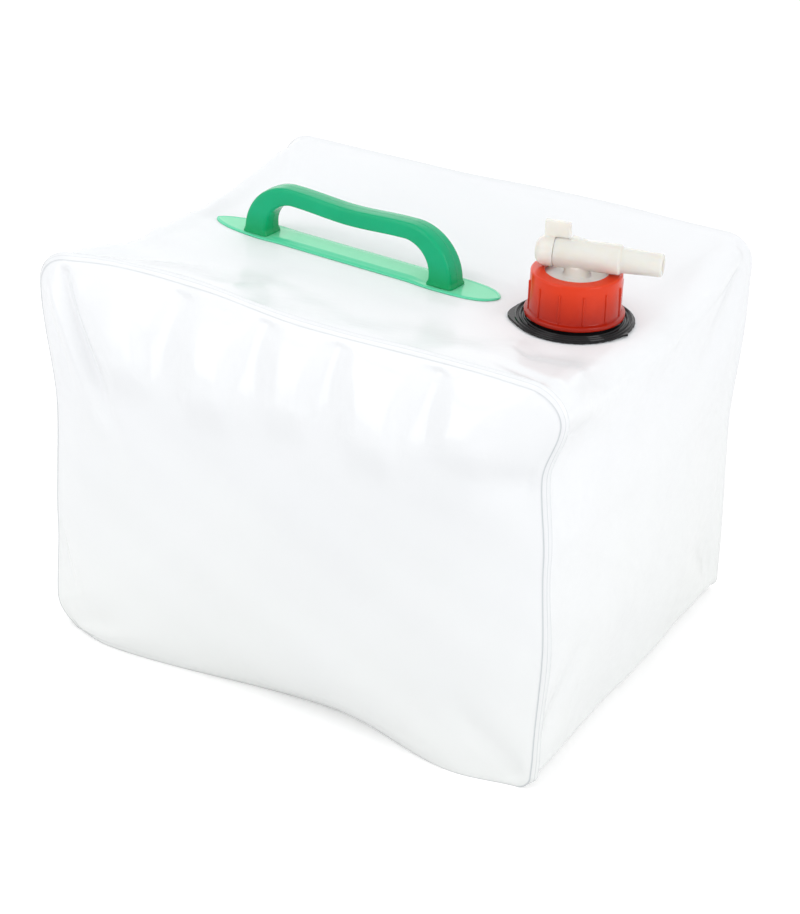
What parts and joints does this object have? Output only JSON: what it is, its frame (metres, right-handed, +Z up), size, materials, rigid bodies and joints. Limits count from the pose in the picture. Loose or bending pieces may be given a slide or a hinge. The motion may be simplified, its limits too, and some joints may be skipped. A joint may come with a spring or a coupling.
{
  "type": "collapsible water carrier",
  "caption": "Collapsible box-shaped water bag of clear film with a green moulded carrying handle, and a black filler neck whose red screwed ring clamps a swivelling dispensing tap.",
  "frame": {"origin": "middle of the bag's underside, on the surface that it stands on", "axes": "+X along the bag's length towards the filler closure, +Y from the front panel to the back panel, +Z up"},
  "size_m": [0.344, 0.2902, 0.2947],
  "materials": {
    "clear_film": "glossy clear film, slightly milky",
    "patch_green": "translucent light green sheet",
    "grip_green": "smooth semi-gloss moulding",
    "neck_black": "glossy black moulding",
    "ring_red": "glossy red-orange moulding",
    "gasket_white": "soft white sealing washer",
    "tap_ivory": "slightly translucent ivory moulding"
  },
  "bodies": {
    "bag_base": {"bottom_panel": "clear_film", "front_panel": "clear_film", "back_panel": "clear_film", "left_side_panel": "clear_film", "right_side_panel": "clear_film"},
    "bag_top": {"top_panel": "clear_film", "handle_patch": "patch_green", "handle_grip": "grip_green", "filler_neck": "neck_black"},
    "closure_seal": {"tap_gasket": "gasket_white"},
    "cap": {"cap_ring": "ring_red"},
    "tap": {"tap_body": "tap_ivory"},
    "lever_plug": {"tap_plug": "tap_ivory"}
  },
  "joints": [
    {"name": "collapse", "type": "slide", "parent": "bag_base", "child": "bag_top", "axis": [0, 0, -1], "range_m": [0, 0.2], "deforming": ["front_panel", "back_panel", "left_side_panel", "right_side_panel"]},
    {"name": "closure_rise", "type": "slide", "parent": "bag_top", "child": "closure_seal", "axis": [0, 0, 1], "range_m": [0, 0.011]},
    {"name": "ring_turn", "type": "hinge", "parent": "closure_seal", "child": "cap", "pos_m": [0.1175, -0.006, 0.25], "axis": [0, 0, 1], "range_deg": [0, 980]},
    {"name": "tap_swivel", "type": "hinge", "parent": "closure_seal", "child": "tap", "pos_m": [0.1175, -0.006, 0.262], "axis": [0, 0, 1], "continuous": true},
    {"name": "lever_turn", "type": "hinge", "parent": "tap", "child": "lever_plug", "pos_m": [0.1175, -0.006, 0.2757], "axis": [0.9703, 0.2419, 0], "range_deg": [0, 90]}
  ],
  "couplings": [
    {"joint": "closure_rise", "follows": "ring_turn", "m_per_rad": 0.00063662}
  ]
}
